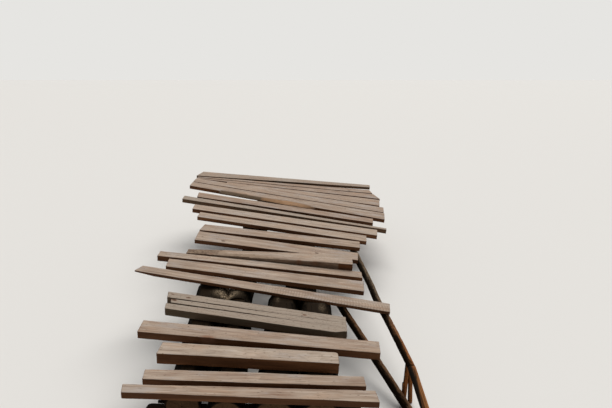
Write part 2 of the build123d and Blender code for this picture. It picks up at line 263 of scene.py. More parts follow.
class Grid(NamedTuple):
    """A tube of points, rows along the piece and columns round it, with its fields.

    Grain is the wood's own place: along, across and through it. Finish is a
    board's tone, age and stain, or a round piece's bare wood and its patches of
    another kind. Surface is how far a point looks up, or toward the lit side,
    which the finishes use to paint light and shade, and the strength of the
    saw's marks, or the ring's size on a log's end.
    """

    points: np.ndarray
    grain: np.ndarray
    finish: np.ndarray
    surface: np.ndarray
    ends: np.ndarray


def placed(name, data):
    """A new object that shows the data, linked to the scene."""
    made = bpy.data.objects.new(name, data)
    bpy.context.scene.collection.objects.link(made)
    return made


def closed_piece(name, nodes, grids, materials, slot, **shares):
    """Makes one piece from tubes of points, each closed by the mean of each end ring.

    Faces between rows that are marked in ends take the second material. Each
    of shares is an attribute from 0 to 1, with 0 at the two closing points.
    """
    stores, corners, sizes, finish = [[], [], [], []], [], [], []
    base = 0
    for grid in grids:
        count, around = grid.points.shape[:2]
        index = np.arange(count * around).reshape(count, around)
        turned = np.roll(index, -1, axis=1)
        quads = np.stack([index[:-1], index[1:], turned[1:], turned[:-1]], axis=-1).reshape(-1, 4)
        start = stacked(index[0], turned[0], count * around)
        end = stacked(turned[-1], index[-1], count * around + 1)
        caps = np.vstack([start, end])
        for store, field in zip(stores, grid):
            store.append(np.vstack([field.reshape(-1, 3), field[0].mean(axis=0), field[-1].mean(axis=0)]))
        a, b, c, d = (stores[0][-1][quads[:, k]] for k in range(4))
        if np.einsum("ij,ij->i", a, np.cross(b, c) + np.cross(c, d)).sum() < 0:
            quads, caps = quads[:, ::-1], caps[:, ::-1]
        corners += [(quads + base).ravel(), (caps + base).ravel()]
        sizes += [np.full(len(quads), 4), np.full(len(caps), 3)]
        finish += [np.repeat(grid.ends[:-1] & grid.ends[1:], around), np.ones(len(caps), bool)]
        base += count * around + 2
    points, *fields = (np.vstack(store).astype(np.float32) for store in stores)
    sizes, corners = np.concatenate(sizes), np.concatenate(corners)
    mesh = bpy.data.meshes.new(name)
    mesh.vertices.add(len(points))
    mesh.vertices.foreach_set("co", points.ravel())
    mesh.loops.add(len(corners))
    mesh.loops.foreach_set("vertex_index", corners.astype(np.int32))
    mesh.polygons.add(len(sizes))
    mesh.polygons.foreach_set("loop_start", (np.cumsum(sizes) - sizes).astype(np.int32))
    mesh.polygons.foreach_set("material_index", np.concatenate(finish).astype(np.int32))
    mesh.polygons.foreach_set("use_smooth", np.ones(len(sizes), bool))
    mesh.update(calc_edges=True)
    for title, field in zip(Grid._fields[1:], fields):
        mesh.attributes.new(title, "FLOAT_VECTOR", "POINT").data.foreach_set("vector", field.ravel())
    for title, values in shares.items():
        values = np.append(values.ravel(), [0, 0]).astype(np.float32)
        mesh.attributes.new(title, "FLOAT", "POINT").data.foreach_set("value", values)
    for material in materials:
        mesh.materials.append(material)
    if mesh.validate():
        raise RuntimeError(f"{name} has faulty faces")
    piece = placed(name, mesh)
    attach(piece, "root")
    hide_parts(*nodes)


def both_ends(end, body, length):
    """The rows of one end, those between, and the same end's rows mirrored at the other end."""
    other = end[::-1].copy()
    other[:, 0] = length - other[:, 0]
    return np.vstack([end, body, other])


# ---------------------------------------------------------------- sawn boards


def plank_section(top=16, side=5, bottom=6, corner=4):
    """A plank's section, once round: corner centres and the ways out of them.

    Columns are the share across (-1 near, 1 far), the share up (0 to 1) and
    the cosine and sine of the outward way. A corner turns the way by 90
    degrees about one centre; a flat keeps the way and moves the centre.
    """
    centres = np.array([(1, 0), (1, 1), (-1, 1), (-1, 0)], float)
    quarter = np.linspace(0, math.pi / 2, corner + 1)
    parts = []
    for k, steps in enumerate((side, top, side, bottom)):
        angle = math.radians(90 * (k - 1)) + quarter
        ways = np.column_stack([np.cos(angle), np.sin(angle)])
        parts.append(np.column_stack([np.tile(centres[k], (corner + 1, 1)), ways]))
        share = np.linspace(0, 1, steps + 2)[1:-1, None]
        run = centres[k] * (1 - share) + centres[(k + 1) % 4] * share
        parts.append(np.column_stack([run, np.tile(ways[-1], (steps, 1))]))
    return np.vstack(parts)


def plank_places(length, step, arris, end_length=30 * MM):
    """Places of a plank's rings: distance along, inset of the ring, shrink of the ring, end mark.

    The rings close in on the middle at each end plane, round its edge, stand
    close together near the ends and a step apart between them.
    """
    end = np.array([
        (0, 0, 0.25, 1), (0, 0, 0.5, 1), (0, 0, 0.75, 1), (0, 0, 0.92, 1),
        (0, arris, 1, 1), (0.3 * arris, 0.3 * arris, 1, 1), (arris, 0, 1, 0),
    ])
    near_end = np.linspace(arris, end_length, 6)[1:]
    middle = np.linspace(end_length, length - end_length, max(8, int(length / step)))[1:-1]
    body = np.concatenate([near_end, middle, length - near_end[::-1]])
    return both_ends(end, stacked(body, 0, 1, 0), length)


class BoardLook(NamedTuple):
    """How one board looks.

    Tone runs from 0 tan to 1 pale and age from 0 fresh to 1 grey. The pith's
    place is given across and above the underside in millimetres, stains as
    share along, share across, size in millimetres and strength, the saw's ribs
    as a strength and the share of the length where they start, and the raggedness
    of the ends in millimetres.
    """

    tone: float = 0.5
    age: float = 0.0
    pith: tuple = (0, -60)
    stains: tuple = ()
    ribs: float = 0.1
    ribs_from: float = 0.0
    ragged: float = 1.6


def spots(along, across, table):
    """Soft spots from (place along, place across, size in mm, strength) rows.

    Each adds its strength times e to the minus squared distance in units of
    its size, a distance that counts for less along the grain.
    """
    return sum(
        strength * np.exp(-((along - place) ** 2 / 2.2 + (across - offset) ** 2) / (size * MM) ** 2)
        for place, offset, size, strength in table
    )


def plank(
    lie, look, seed, boards, near=np.zeros_like, far=np.ones_like, low=np.zeros_like, high=1.0, wane=None,
    section=plank_section(),
):
    """One plank as a grid of points.

    The plan is the bilinear blend of the four lower corners; near and far are
    functions of the share along that give the plank's own edges as shares
    across, low one that gives its underside as a share of the thickness, and
    high is the share of its top. A ring of the rounded section is carried
    along, its edges wander inward by smooth noise, and wane, a function of
    place and height, cuts the near edge down.
    """
    across, height, way_y, way_z = section.T[:, None, :]
    near_left, near_right, far_right, far_left = lie.corners
    length = middle_length(lie.corners)
    place, inset, shrink, end_mark = plank_places(length, boards.step, boards.arris).T[:, :, None]
    share = place / length
    near_line = near_left * (1 - share) + near_right * share
    far_line = far_left * (1 - share) + far_right * share
    near_edge = near_line + (far_line - near_line) * near(share)
    far_edge = near_line + (far_line - near_line) * far(share)
    half = np.linalg.norm(far_edge - near_edge, axis=1, keepdims=True) / 2
    under = low(share)
    thickness = (high - under) * lie.thickness
    wear = 0.5 + 0.5 * smooth_noise(seed + 1, place / 0.055, across + 3 * height + 5)
    radius = boards.arris * (0.6 + 1.1 * wear * np.where(height > 0.5, 1.0, 0.5))
    radius = np.minimum(radius, np.minimum(half * 0.8, thickness * 0.4))
    y = across * (half - radius) + way_y * radius
    z = radius + height * (thickness - 2 * radius) + way_z * radius
    wander = 1 + smooth_noise(seed + 2, place / 0.21, across * 2 + 9)
    wander = wander + 0.6 * np.abs(smooth_noise(seed + 3, place / 0.035, across * 2 + 9 + height))
    y = y - wander * boards.edge_wave * across
    dip = smooth_noise(seed + 4, place / 0.3, y / 0.05)
    z = z - np.where(height > 0.99, (1 + dip) * 0.6 * MM, 0)
    z = np.where(height < 0.01, np.maximum(z, 0), z)
    y = y * (1 - inset / half) * shrink
    z = thickness / 2 + (z - thickness / 2) * (1 - 2 * inset / thickness)
    z = thickness / 2 + (z - thickness / 2) * shrink + under * lie.thickness
    if wane:
        z = wane(place, y, z, half)
    tooth = 2.5 * look.ragged * MM
    rough = np.abs(smooth_noise(seed + 5, y / tooth, z / (1.6 * tooth))) * look.ragged * MM * end_mark
    rough = rough * np.where(share < 0.5, 1, -1)
    toward = (far_line - near_line) / np.linalg.norm(far_line - near_line, axis=1, keepdims=True)
    points = (
        ((near_edge + far_edge) / 2)[:, None, :] + toward[:, None, :] * y[:, :, None]
        + lie.up * z[:, :, None] + lie.along * rough[:, :, None]
    )
    centre = (near_line + far_line)[:, None, :] / 2
    y_board = ((points - centre) * toward[:, None, :]).sum(axis=-1)
    stains = [(at * length, offset * half, *rest) for at, offset, *rest in look.stains]
    ribs = look.ribs * ease(share, look.ribs_from - 0.12, look.ribs_from + 0.12)
    return Grid(
        points,
        stacked(place + seed * 2.31, y_board - look.pith[0] * MM, z - look.pith[1] * MM),
        stacked(look.tone, look.age, np.clip(spots(place, y_board, stains) + 0 * y, 0, 2)),
        stacked(way_z * (end_mark == 0), ribs, 0),
        end_mark[:, 0] > 0,
    )


# ---------------------------------------------------------------- materials


def add(tree, kind, inputs=(), out=0, **settings):
    """Adds one node with its settings and links, and returns one of its outputs.

    The inputs are values or other nodes' outputs, in order or by name.
    """
    node = tree.nodes.new("ShaderNode" + kind)
    for title, value in settings.items():
        setattr(node, title, value)
    for title, value in inputs.items() if isinstance(inputs, dict) else enumerate(inputs):
        if isinstance(value, bpy.types.NodeSocket):
            tree.links.new(value, node.inputs[title])
        else:
            node.inputs[title].default_value = value
    return node.outputs[out]


class Layer(NamedTuple):
    """What a finish hands to the shader: colour, roughness and height in millimetres."""

    colour: bpy.types.NodeSocket
    roughness: bpy.types.NodeSocket
    height: bpy.types.NodeSocket


class Finish(NamedTuple):
    """A material: its layer, the gloss of its dusty surface, and what its heights are multiplied by."""

    layer: Layer
    specular: float
    depth: float = 1.0


def finishes(settings, *makers):
    """The materials that the makers describe, each built once and named for its maker."""
    made = []
    for maker in makers:
        material = bpy.data.materials.get(maker.__name__)
        if not material:
            material = bpy.data.materials.new(maker.__name__)
            material.use_nodes = True
            tree = material.node_tree
            layer, specular, depth = maker(tree, settings)
            bump = add(tree, "Bump", {"Strength": 1.0, "Distance": depth * MM, "Height": layer.height})
            shader = tree.nodes["Principled BSDF"].inputs
            shader["Specular IOR Level"].default_value = specular
            tree.links.new(layer.colour, shader["Base Color"])
            tree.links.new(layer.roughness, shader["Roughness"])
            tree.links.new(bump, shader["Normal"])
        made.append(material)
    return made


def attributes(tree):
    """The fields that every piece carries: its grain, and the values of its finish and its surface."""
    titles = Grid._fields[1:4]
    grain, *others = (add(tree, "Attribute", (), "Vector", attribute_name=title) for title in titles)
    return grain, *(add(tree, "SeparateXYZ", (value,)).node.outputs for value in others)


def stretched(tree, grain, *millimetres):
    """The grain in units of features that are so many millimetres long, wide and deep."""
    scale = tuple(1 / (size * MM) for size in millimetres)
    return add(tree, "VectorMath", (grain, scale), operation="MULTIPLY")


def noises(tree, grain, *table):
    """Noise patterns, each from its size in millimetres along, across and through, and its detail."""
    return [
        add(tree, "TexNoise", {
            "Vector": stretched(tree, grain, *size), "Scale": 1.0, "Detail": detail, "Roughness": 0.62,
        })
        for *size, detail in table
    ]


def ramp(tree, pattern, low, high, full=1.0, base=0.0):
    """Runs smoothly from base to full while the pattern runs from low to high."""
    return add(tree, "MapRange", (pattern, low, high, base, full), interpolation_type="SMOOTHSTEP")


def tinted(tree, colour, *coats):
    """Lays colours over one another, each by a share or by the numbers that ramp takes."""
    for tint, *rule in coats:
        by = ramp(tree, *rule) if len(rule) > 1 else rule[0]
        lower, upper = (
            value if isinstance(value, bpy.types.NodeSocket) else (*value, 1) for value in (colour, tint)
        )
        colour = add(tree, "Mix", {0: by, 6: lower, 7: upper}, 2, data_type="RGBA")
    return colour


def shaded(colour, factor):
    """The same colour, darker by a factor."""
    return tuple(factor * value for value in colour)


def summed(tree, *terms):
    """The sum of patterns, each times its factor."""
    total = 0.0
    for value, factor in terms:
        total = add(tree, "Math", (value, factor, total), operation="MULTIPLY_ADD")
    return total


def from_pith(tree, place):
    """Distance from the pith: the length of the place's parts across and through."""
    flat = add(tree, "VectorMath", (place, (0, 1, 1)), operation="MULTIPLY")
    return add(tree, "VectorMath", (flat,), 1, operation="LENGTH")


def year_lines(tree, grain, ring_width):
    """Late wood of the year rings: distance from the pith, bent by slow noise, cut into years."""
    slow = {"Vector": stretched(tree, grain, 480, 110, 110), "Scale": 1.0, "Detail": 2.0}
    noise = add(tree, "TexNoise", slow, 1)
    bend = add(tree, "VectorMath", (noise, (0.5, 0.5, 0.5)), operation="SUBTRACT")
    bent = add(tree, "VectorMath", (bend, (0.03, 0.03, 0.03), grain), operation="MULTIPLY_ADD")
    years = summed(tree, (from_pith(tree, bent), 1 / ring_width))
    return add(tree, "Math", (add(tree, "Math", (years,), operation="FRACT"), 2.5), operation="POWER")


def knots(tree, grain, room):
    """Knots 5 to 12 mm in radius that go through a board; one cell in three holds one."""
    place = add(tree, "VectorMath", (grain, (0.7 / room, 1 / room, 0.25 / room)), operation="MULTIPLY")
    distance = add(tree, "TexVoronoi", {"Vector": place, "Scale": 1.0}, "Distance")
    chance, size, _ = add(tree, "SeparateColor", (distance.node.outputs["Color"],)).node.outputs
    has_knot = add(tree, "Math", (chance, 0.66), operation="GREATER_THAN")
    inner = add(tree, "Math", (size, 0.05, 0.03), operation="MULTIPLY_ADD")
    return summed(tree, (ramp(tree, distance, inner, summed(tree, (inner, 1.6)), 0.0, 1.0), has_knot))


def wood_layer(tree, boards):
    """Sawn softwood: rings round the pith, fibres, knots, dust, stains and saw marks.

    The grain field is the wood's own place, along, across and through, from
    the pith, so a ring shows as a line on the face and as an arc on the end.
    """
    grain, (tone, age, stain), (upward, ribs, _) = attributes(tree)
    late = year_lines(tree, grain, boards.ring_width)
    knot = summed(tree, (knots(tree, grain, boards.knot_room), 0.8))
    fibre, streak, broad, blotch, speck, band = noises(
        tree, grain, (90, 1.8, 1.8, 2.0), (230, 6.5, 9, 3.0), (800, 30, 60, 3.0), (240, 80, 80, 5.0),
        (26, 6, 6, 1.0), (330, 26, 40, 3.0),
    )
    aged = ramp(tree, summed(tree, (blotch, 0.8), (age, 1.0)), 0.55, 1.25, 0.92)
    stained = summed(tree, (stain, streak))
    stains = ramp(tree, summed(tree, (stained, 1.0), (age, -0.3)), 0.06, 0.45, 0.85)
    cores = ramp(tree, stained, 0.5, 0.75, 0.9)

    # The top: tan to pale by the board's tone, with bands, streaks, fibres, specks and dust.
    top = tinted(
        tree, boards.tan,
        (boards.pale, summed(tree, (broad, 1.5), (tone, 1.0)), 0.75, 1.75),
        (boards.pale, streak, 0.5, 0.3, 0.55),
        (boards.clean, band, 0.5, 0.32, 0.6),
        (boards.late, band, 0.5, 0.68, 0.34),
        (boards.dust, blotch, 0.5, 0.68, 0.7),
        (boards.warm, blotch, 0.48, 0.32, 0.38),
        (boards.grey, aged),
        (boards.late, summed(tree, (late, 0.3))),
        (boards.late, streak, 0.5, 0.72, 0.8),
        (boards.tan, fibre, 0.48, 0.74, 0.6),
        (boards.stain, stains),
        (boards.knot, cores),
        (boards.knot, summed(tree, (speck, 1.0), (age, 0.06)), 0.685, 0.745, 0.85),
        (boards.knot, knot),
    )

    # The edges and the underside take darker colours, lighter in streaks: partly damp wood, partly painted
    # shade on the faces that don't look up.
    edge = tinted(
        tree, boards.front,
        (boards.front_light, summed(tree, (broad, 1.0), (tone, 0.25)), 0.5, 0.95, 0.9),
        (boards.green, summed(tree, (aged, 0.85))),
        (boards.front, streak, 0.5, 0.7, 0.6),
        (boards.stain, stains),
        (boards.knot, cores),
        (boards.knot, knot),
    )

    # Saw marks cross the grain, a little curved, and show where the ribs field says.
    way = add(tree, "VectorMath", (grain, (1.0, 0.12, 0.4)), 1, operation="DOT_PRODUCT")
    turn = summed(tree, (way, 2 * math.pi / boards.saw_pitch), (blotch, 14.0), (speck, 2.0))
    strength = summed(tree, (ramp(tree, broad, 0.35, 0.62, 1.0, 0.25), ribs))
    mark = summed(tree, (add(tree, "Math", (turn,), operation="SINE"), strength))

    # Faces that look up take the top's colours and the rest take the edge's: painted light on the tops,
    # painted shade on the edges and undersides.
    lit = summed(tree, (streak, 0.3), (upward, 1.0))
    return Layer(
        tinted(tree, edge, (top, lit, 0.45, 0.8), (boards.late, mark, 0.0, 1.0, 0.42)),
        ramp(tree, fibre, 0.2, 0.8, 0.95, 0.72),
        summed(tree, (fibre, 0.7), (late, 0.18), (mark, 0.7), (blotch, 1.0), (streak, -0.8)),
    )


class BarkLook(NamedTuple):
    """A bark's sizes in millimetres, its colours, how dark its furrows are and how much facing the lit side
    adds to its dry colour: painted light and shade.
    """

    length: float
    width: float
    furrow: tuple
    plate: tuple
    dry: tuple
    lichen: tuple
    lichen_share: float
    depth: float = 1.0
    sided: float = 0.5


def bark_layer(tree, look):
    """Bark: plates cut by furrows, flakes on the plates, patches of lichen, and the dry colour laid on partly
    by the way a point faces: painted light and shade.
    """
    grain, _, (upward, _, _) = attributes(tree)
    slow = {"Vector": stretched(tree, grain, 45, 16, 16), "Scale": 1.0, "Detail": 4.0}
    plates = stretched(tree, grain, look.length, look.width, look.width)
    noise = add(tree, "TexNoise", slow, 1)
    bent = add(tree, "VectorMath", (noise, (1.7, 1.7, 1.7), plates), operation="MULTIPLY_ADD")
    cells = {"Vector": bent, "Scale": 1.0}
    to_edge = add(tree, "TexVoronoi", cells, "Distance", feature="DISTANCE_TO_EDGE")
    own = add(tree, "SeparateColor", (add(tree, "TexVoronoi", cells, "Color"),))
    flake, patch, worn = noises(tree, grain, (18, 5, 5, 4.0), (150, 50, 50, 5.0), (170, 22, 22, 4.0))
    on_plate = ramp(tree, summed(tree, (to_edge, 1.0), (flake, 0.25)), 0.1, 0.34, 1.0, 1 - look.depth)
    # Facing the lit side adds to the dry colour by the look's sided share: painted light on one side and
    # painted shade on the other.
    dry_and_lit_share = summed(tree, (flake, 0.7), (own, 0.3), (upward, look.sided), (worn, 1.3))
    plate = tinted(
        tree, look.plate,
        (look.dry, dry_and_lit_share, 0.95, 1.85), (look.lichen, patch, 0.54, 0.66, look.lichen_share),
    )
    return Layer(
        # The furrows between the plates take the furrow colour: painted shade in the furrows.
        tinted(tree, look.furrow, (plate, on_plate)),
        ramp(tree, flake, 0.2, 0.8, 0.98, 0.78),
        summed(tree, (on_plate, 1.6), (flake, 1.0)),
    )


def bare_layer(tree, dark, light, ring_width, streak_width):
    """Bare wood of a log or pole: long streaks, rings where it is cut across, and checks; painted light on
    the side that looks up or toward the lit side, and painted shade in the checks.
    """
    grain, _, (upward, _, _) = attributes(tree)
    late = year_lines(tree, grain, ring_width * MM)
    streak, fibre, split = noises(
        tree, grain, (240, streak_width, streak_width, 5.0), (60, 2, 2, 2.0), (190, 6, 6, 1.0)
    )
    check = ramp(tree, split, 0.66, 0.72)
    return Layer(
        tinted(
            tree, dark,
            # The light colour follows the streaks and how far a point looks up or toward the lit side:
            # painted light on that side.
            (light, summed(tree, (streak, 1.2), (upward, 0.3)), 0.4, 1.05),
            # The checks take a darker copy of the dark colour: painted shade in the cracks.
            (dark, late, 0.2, 1.0, 0.4), (dark, fibre, 0.45, 0.75, 0.5), (shaded(dark, 0.25), check),
        ),
        ramp(tree, streak, 0.2, 0.8, 0.9, 0.66),
        summed(tree, (check, -0.8), (streak, 1.0), (fibre, 0.4)),
    )


def cut_layer(tree, dark, light, ring_width, sectors=7):
    """Wood cut across: year rings, and checks that run out from the pith and open outward, darkened with
    painted shade.
    """
    grain, _, _ = attributes(tree)
    late = year_lines(tree, grain, ring_width * MM)
    dirt, fine = noises(tree, grain, (30, 24, 24, 4.0), (6, 3, 3, 2.0))
    _, across, through = add(tree, "SeparateXYZ", (grain,)).node.outputs
    angle = add(tree, "Math", (across, through), operation="ARCTAN2")
    turn = summed(tree, (angle, sectors / (2 * math.pi)), (dirt, 0.7))
    part = add(tree, "Math", (add(tree, "Math", (turn,), operation="FRACT"), -0.5), operation="ADD")
    from_line = summed(tree, (add(tree, "Math", (part,), operation="ABSOLUTE"), from_pith(tree, grain)))
    distance = summed(tree, (from_line, 1.0), (dirt, 0.012), (0.0058, -1.0))
    check = ramp(tree, distance, 0.0002, 0.0012, 0.0, 0.85)
    return Layer(
        tinted(
            tree, light,
            (dark, late, 0.1, 1.0, 0.55), (dark, dirt, 0.4, 0.7, 0.75),
            # The checks take a darker copy of the dark colour: painted shade in the cracks.
            (dark, fine, 0.45, 0.75, 0.5), (shaded(dark, 0.3), check),
        ),
        ramp(tree, fine, 0.2, 0.8, 0.95, 0.75),
        summed(tree, (check, -1.5), (late, 0.3), (fine, 0.8)),
    )


def over(tree, lower, upper, by):
    """Lays one finish over another by a share from 0 to 1."""
    return Layer(
        tinted(tree, lower.colour, (upper.colour, by)),
        *(add(tree, "Mix", {0: by, 2: below, 3: above}) for below, above in zip(lower[1:], upper[1:])),
    )


def dry_sawn_spruce(tree, boards):
    """Spruce from the sawmill, dry and dusty: soft streaks, faint year lines, brown edges that are partly
    damp and partly painted shade.
    """
    return Finish(wood_layer(tree, boards), specular=0.25)


def sawn_spruce_end(tree, boards):
    """Cross-cut spruce: arcs of the year rings in the edges' colours, browner than the top and darker with
    their painted shade, rough to the light.
    """
    return Finish(cut_layer(tree, boards.front, boards.front_light, 3.4), specular=0.2, depth=0.6)


def with_skin(tree, boards, skin, other_skin):
    """Sawn spruce where a share of the surface is the tree's own skin, of two kinds."""
    wane, other = (add(tree, "Attribute", (), "Fac", attribute_name=title) for title in ("wane", "wane_tan"))
    return over(tree, wood_layer(tree, boards), over(tree, skin, other_skin, other), wane)


def spruce_with_wane(tree, boards):
    """Sawn spruce with the tree's own skin along one edge: its bark is off, grey-brown to orange."""
    grey = bare_layer(tree, boards.late, boards.wane, 3.4, 6)
    orange = bare_layer(tree, boards.tan, boards.wane_tan, 3.4, 9)
    return Finish(with_skin(tree, boards, grey, orange), specular=0.2, depth=1.4)


def debarked_spruce_slab(tree, boards):
    """A slab sawn flat on one side: dusty skin, streaked and knotty and darker with painted shade on the
    round side, and rough inner bark at its thin end.
    """
    skin = bare_layer(tree, boards.slab_skin_dark, boards.slab_skin, 3.4, 6)
    rough = BarkLook(
        38, 8, boards.knot, boards.slab_skin_dark, boards.slab_skin, boards.stain, 0.5, depth=0.9
    )
    return Finish(with_skin(tree, boards, skin, bark_layer(tree, rough)), specular=0.2, depth=1.5)


def pine_bark_and_hewn_wood(tree, bark):
    """Old pine bark, damp and dark with the shade under the deck painted into it, nearly black with painted
    shade in its furrows, hewn wood as dark where the axe took it off, and pale chips with painted light.
    """
    old = bark_layer(tree, BarkLook(
        75, 24, bark.furrow, bark.bark, bark.bark_light, bark.lichen, 0.35, sided=-0.4
    ))
    hewn = bare_layer(tree, bark.hewn, bark.hewn_light, 3.0, 8)
    # The pale chips and torn bark lie where the patch field says; the large pale patch is partly painted
    # light from a gap between the boards.
    chips = bark_layer(tree, BarkLook(
        26, 17, bark.bark, shaded(bark.peeled_and_lit_patch, 0.55), bark.peeled_and_lit_patch, bark.bark_light, 0.4
    ))
    _, (bare, patch, _), _ = attributes(tree)
    return Finish(over(tree, over(tree, old, hewn, bare), chips, patch), specular=0.02, depth=1.6)


def pine_log_end(tree, bark):
    """A log's sawn end gone brown: rings, checks and dirt, with a dark ring of bark round it."""
    layer = cut_layer(tree, shaded(bark.log_end, 0.45), bark.log_end, 3.5)
    _, _, (_, ring, _) = attributes(tree)
    colour = tinted(tree, layer.colour, (bark.bark, ring, 0.84, 0.9, 0.9))
    return Finish(layer._replace(colour=colour), specular=0.04)


def pole_barks(bark):
    """The looks of a pole's bark, grey where it is dry and rust-red where it flakes, each with painted light
    on its lit side and painted shade on the far side.
    """
    # The poles' furrows take a darker copy of the bark: painted shade in the furrows.
    dry = BarkLook(
        40, 9, shaded(bark.pole_bark, 0.4), bark.pole_bark, bark.pole_bark_dry_and_lit, bark.lichen, 0.4, 0.55, 0.75
    )
    return dry, dry._replace(dry=bark.pole_bark_red, lichen_share=0.1, depth=0.4)


def young_pine_bark(tree, bark):
    """Thin bark of a young pine: fine flakes, nearly black on the side away from the light, damp and with
    painted shade, grey to rust-red on dry flakes and, as painted light, on the lit side.
    """
    dry, red = pole_barks(bark)
    _, (_, redness, _), _ = attributes(tree)
    return Finish(over(tree, bark_layer(tree, dry), bark_layer(tree, red), redness), specular=0.02)


def peeled_pine(tree, bark):
    """Peeled pine that has gone orange-brown: smooth, streaked, with a tongue of bark left on."""
    wood = bare_layer(tree, bark.barkless_dark, bark.barkless, 2.5, 7)
    _, red = pole_barks(bark)
    _, (_, tongue, _), _ = attributes(tree)
    return Finish(over(tree, wood, bark_layer(tree, red), tongue), specular=0.15, depth=0.8)


# ---------------------------------------------------------------- round pieces


class Axis(NamedTuple):
    """A round piece: the two ends of its axis, the radius at each, and its way."""

    start: np.ndarray
    end: np.ndarray
    start_radius: float
    end_radius: float
    way: np.ndarray

    def place_of(self, y):
        """How far from its start the axis passes a place in y."""
        return (y - self.start[1]) / self.way[1]


def circle_through(points, way):
    """Middle and radius of the circle nearest to points, seen along way.

    Solves x^2 + y^2 = 2ax + 2by + c for a, b and c by least squares.
    """
    side = unit(np.cross(way, np.array([0.3, 0.2, 0.9])))
    other = np.cross(way, side)
    x, y = points @ side, points @ other
    a, b, c = np.linalg.lstsq(np.column_stack([2 * x, 2 * y, np.ones_like(x)]), x * x + y * y, rcond=None)[0]
    return side * a + other * b, math.sqrt(c + a * a + b * b)


def axis_of(node, toward, reach=14 * MM):
    """Reads a round piece's axis from its CAD node, pointing the way of toward.

    The way is the normal of the end face that is cut square; each end's
    circle goes through the corners of its end face.
    """
    corners, normals, areas = shell_of(node)
    points = corners.reshape(-1, 3)
    rough = np.linalg.svd(points - points.mean(axis=0), full_matrices=False)[2][0]
    rough = rough * np.sign(rough @ toward)
    along = corners @ rough
    ends = []
    for sign in (-1, 1):
        outermost = (sign * along).min(axis=1) > (sign * along).max() - reach
        at_end = outermost & (normals @ (sign * rough) > 0.6)
        ends.append((at_end, unit((normals[at_end] * areas[at_end, None]).sum(axis=0)) * sign))
    way = max((face_way for _, face_way in ends), key=lambda face_way: abs(face_way @ rough))
    found = []
    for at_end, face_way in ends:
        rim = corners[at_end].reshape(-1, 3)
        middle, radius = circle_through(rim, way)
        depth = ((rim.mean(axis=0) - middle) @ face_way) / (way @ face_way)
        found.append((middle + way * depth, radius))
    (start, start_radius), (end, end_radius) = found
    return Axis(start, end, start_radius, end_radius, way)


def upright_axis(node, over_top=10 * MM):
    """Axis of a post or stump: a cone through the rims of its foot and its top, carried over the top."""
    low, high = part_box(node)
    middle = np.array([(low[0] + high[0]) / 2, (low[1] + high[1]) / 2, 0])
    corners, normals, _ = shell_of(node)
    reach = corners - middle
    radius = np.linalg.norm(reach[..., :2], axis=-1)
    foot = radius[reach[..., 2] < 0.5 * MM].max()
    on_top = normals @ UP > 0.9
    slope = (np.median(radius[on_top]) - foot) / np.median(reach[on_top][..., 2])
    height = high[2] + over_top
    return Axis(middle, middle + UP * height, foot, foot + slope * height, UP)


class Cut(NamedTuple):
    """A plane that a round piece doesn't pass, over a stretch of its length in metres."""

    flat: Flat
    low: float = -math.inf
    high: float = math.inf


GROUND = Cut(Flat(np.zeros(3), -UP))


def turned_flat(node, way):
    """The plane of a node's face, turned round, for a piece that lies against that face."""
    flat = flat_of(node, way)
    return Flat(flat.point, -flat.normal)


def round_piece(
    axis, seed, relief, around, step, cuts, bare_width=12 * MM, furrow=30 * MM, lit_side=UP, arris=4 * MM,
):
    """A log or pole as a grid of points.

    A circle is carried along the axis; its radius loses relief times a
    furrowed noise, 1 - |n|, that is long along the grain and short round it,
    and slow lumps. The points are then moved along each cut's normal until
    none lies past the cut, which leaves flats, bare for bare_width round them.
    The surface's first value is how far each point faces the lit side, from
    -1 to 1, which the finishes use to paint light and shade, and its second the
    ring's size on the ends.
    """
    length = np.linalg.norm(axis.end - axis.start)
    end = np.array([
        (0, 0.12, 1), (0, 0.35, 1), (0, 0.6, 1), (0, 0.82, 1), (0, 0.93, 1), (0.15 * arris, 0.985, 1),
        (arris, 1, 0),
    ])
    body = np.linspace(arris, length - arris, max(10, int(length / step)))[1:-1]
    place, shrink, end_mark = both_ends(end, stacked(body, 1, 0), length).T[:, :, None]
    angle = np.linspace(0, 2 * math.pi, around, endpoint=False)[None, :]
    side = unit(np.cross(UP, axis.way)) if abs(axis.way[2]) < 0.9 else RIGHT
    other_side = np.cross(axis.way, side)
    radius = axis.start_radius + (axis.end_radius - axis.start_radius) * place / length

    turn = angle / (2 * math.pi)
    turns = max(4, int(2 * math.pi * axis.start_radius / furrow))
    ridged = 1 - np.abs(smooth_noise(seed, place / (furrow * 3.5), turn * turns, turns))
    fine = 1 - np.abs(smooth_noise(seed + 1, place / (furrow * 1.2), turn * 2 * turns, 2 * turns))
    lumps = 1 + smooth_noise(seed + 2, place / 0.22, turn * 4, 4)
    loss = relief * (ridged ** 3 * 0.7 + fine ** 3 * 0.3 + 0.35 * lumps)
    reach = (radius - loss * np.where(end_mark > 0, ease(shrink, 0.8, 1.0), 1)) * shrink
    across, up = reach * np.cos(angle), reach * np.sin(angle)
    outward = side * np.cos(angle)[..., None] + other_side * np.sin(angle)[..., None]
    points = axis.start + axis.way * place[..., None] + side * across[..., None] + other_side * up[..., None]

    bare = np.zeros_like(across)
    for cut in cuts:
        past = (points - cut.flat.point) @ cut.flat.normal
        past = np.where((place >= cut.low) & (place <= cut.high), past, -1)
        bare = np.maximum(bare, ease(past, -bare_width, MM))
        points = points - cut.flat.normal * np.maximum(past, 0)[..., None]
    return Grid(
        points,
        stacked(place + seed * 1.37, across, up),
        stacked(bare, 0, 0),
        stacked(outward @ unit(np.array(lit_side)), shrink, 0),
        (end_mark[:, 0] > 0) & (shrink[:, 0] < 0.94),
    )


def with_patch(grid, values):
    """The same round piece with the second value of its finish set."""
    return grid._replace(finish=stacked(grid.finish[..., 0], values, 0))


